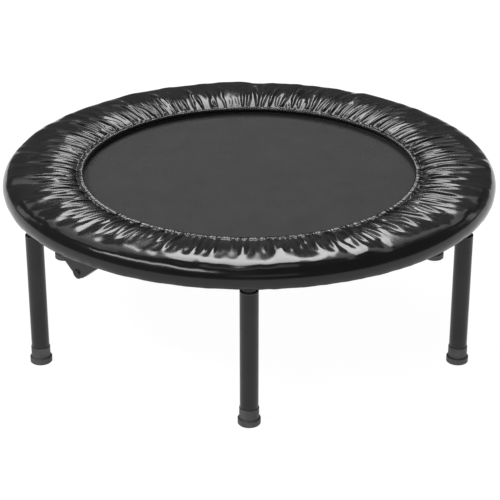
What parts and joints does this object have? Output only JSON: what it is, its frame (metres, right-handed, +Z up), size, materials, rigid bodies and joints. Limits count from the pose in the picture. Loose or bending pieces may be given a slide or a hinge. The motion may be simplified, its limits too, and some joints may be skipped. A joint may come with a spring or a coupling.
{
  "type": "mini trampoline",
  "caption": "Low round folding exercise trampoline: ring frame in two hinged halves, screw-in legs with foot caps, sprung mat and padded cover.",
  "frame": {"origin": "on the floor, under the middle of the mat", "axes": "+Z up; -Y towards the front leg; the fold line runs from azimuth -131.7 to 48.3 degrees"},
  "size_m": [0.9138, 0.9138, 0.302],
  "materials": {
    "frame_paint": "satin black powder coat",
    "zinc": "dull zinc plate",
    "black_bolt": "black zinc plate",
    "insert_plastic": "moulded black plastic",
    "foot_rubber": "matte dark grey rubber",
    "spring_steel": "bright zinc",
    "mat_weave": "matte woven polypropylene",
    "webbing": "ribbed black webbing",
    "pad_vinyl": "glossy black PVC leathercloth",
    "foam": "open foam",
    "elastic": "covered elastic"
  },
  "bodies": {
    "root": {"frame_tube_a": "frame_paint", "leg_stub_1": "frame_paint", "leg_stub_2": "frame_paint", "leg_stub_3": "frame_paint", "leg_stud_1": "zinc", "leg_stud_2": "zinc", "leg_stud_3": "zinc", "hinge_channel_1": "frame_paint", "hinge_channel_2": "frame_paint", "hinge_bolts": "black_bolt", "hinge_nuts": "zinc", "hinge_washers": "zinc", "springs_a": "spring_steel", "pad_cover_a": "pad_vinyl", "pad_foam_a": "foam", "hem_elastic_a": "elastic", "skirt_elastic_a": "elastic"},
    "frame_b": {"frame_tube_b": "frame_paint", "leg_stub_4": "frame_paint", "leg_stub_5": "frame_paint", "leg_stub_6": "frame_paint", "leg_stud_4": "zinc", "leg_stud_5": "zinc", "leg_stud_6": "zinc", "hinge_leaf_1": "frame_paint", "hinge_leaf_2": "frame_paint", "springs_b": "spring_steel", "pad_cover_b": "pad_vinyl", "pad_foam_b": "foam", "hem_elastic_b": "elastic", "skirt_elastic_b": "elastic"},
    "mat_a": {"mat_fabric_a": "mat_weave", "mat_webbing_a": "webbing", "ring_tabs_a": "webbing", "v_rings_a": "spring_steel"},
    "mat_b": {"mat_fabric_b": "mat_weave", "mat_webbing_b": "webbing", "ring_tabs_b": "webbing"},
    "rings_b": {"v_rings_b": "spring_steel"},
    "leg_1": {"leg_tube_1": "frame_paint", "leg_insert_1": "insert_plastic", "leg_foot_1": "foot_rubber"},
    "leg_2": {"leg_tube_2": "frame_paint", "leg_insert_2": "insert_plastic", "leg_foot_2": "foot_rubber"},
    "leg_3": {"leg_tube_3": "frame_paint", "leg_insert_3": "insert_plastic", "leg_foot_3": "foot_rubber"},
    "leg_4": {"leg_tube_4": "frame_paint", "leg_insert_4": "insert_plastic", "leg_foot_4": "foot_rubber"},
    "leg_5": {"leg_tube_5": "frame_paint", "leg_insert_5": "insert_plastic", "leg_foot_5": "foot_rubber"},
    "leg_6": {"leg_tube_6": "frame_paint", "leg_insert_6": "insert_plastic", "leg_foot_6": "foot_rubber"}
  },
  "joints": [
    {"name": "frame_fold", "type": "hinge", "parent": "root", "child": "frame_b", "pos_m": [0, 0, 0.232], "axis": [-0.6652, -0.7466, 0], "range_deg": [0, 130], "stiffness_Nm_per_rad": 8, "springref_deg": -91.67},
    {"name": "mat_bounce", "type": "slide", "parent": "root", "child": "mat_a", "axis": [0, 0, 1], "range_m": [-0.035, 0], "stiffness_N_per_m": 9000, "springref_m": 0.002, "deforming": ["springs_a"]},
    {"name": "mat_fold", "type": "hinge", "parent": "mat_a", "child": "mat_b", "pos_m": [0, 0, 0.232], "axis": [-0.6652, -0.7466, 0], "range_deg": [0, 130]},
    {"name": "rings_b_bounce", "type": "slide", "parent": "frame_b", "child": "rings_b", "axis": [0, 0, 1], "range_m": [-0.035, 0], "deforming": ["springs_b"]},
    {"name": "leg_1_unscrew", "type": "slide", "parent": "root", "child": "leg_1", "axis": [0, 0, -1], "range_m": [0, 0.038]},
    {"name": "leg_2_unscrew", "type": "slide", "parent": "root", "child": "leg_2", "axis": [0, 0, -1], "range_m": [0, 0.038]},
    {"name": "leg_3_unscrew", "type": "slide", "parent": "root", "child": "leg_3", "axis": [0, 0, -1], "range_m": [0, 0.038]},
    {"name": "leg_4_unscrew", "type": "slide", "parent": "frame_b", "child": "leg_4", "axis": [0, 0, -1], "range_m": [0, 0.038]},
    {"name": "leg_5_unscrew", "type": "slide", "parent": "frame_b", "child": "leg_5", "axis": [0, 0, -1], "range_m": [0, 0.038]},
    {"name": "leg_6_unscrew", "type": "slide", "parent": "frame_b", "child": "leg_6", "axis": [0, 0, -1], "range_m": [0, 0.038]}
  ],
  "couplings": [
    {"joint": "mat_fold", "follows": "frame_fold", "ratio": 1},
    {"joint": "rings_b_bounce", "follows": "mat_bounce", "ratio": 1}
  ]
}
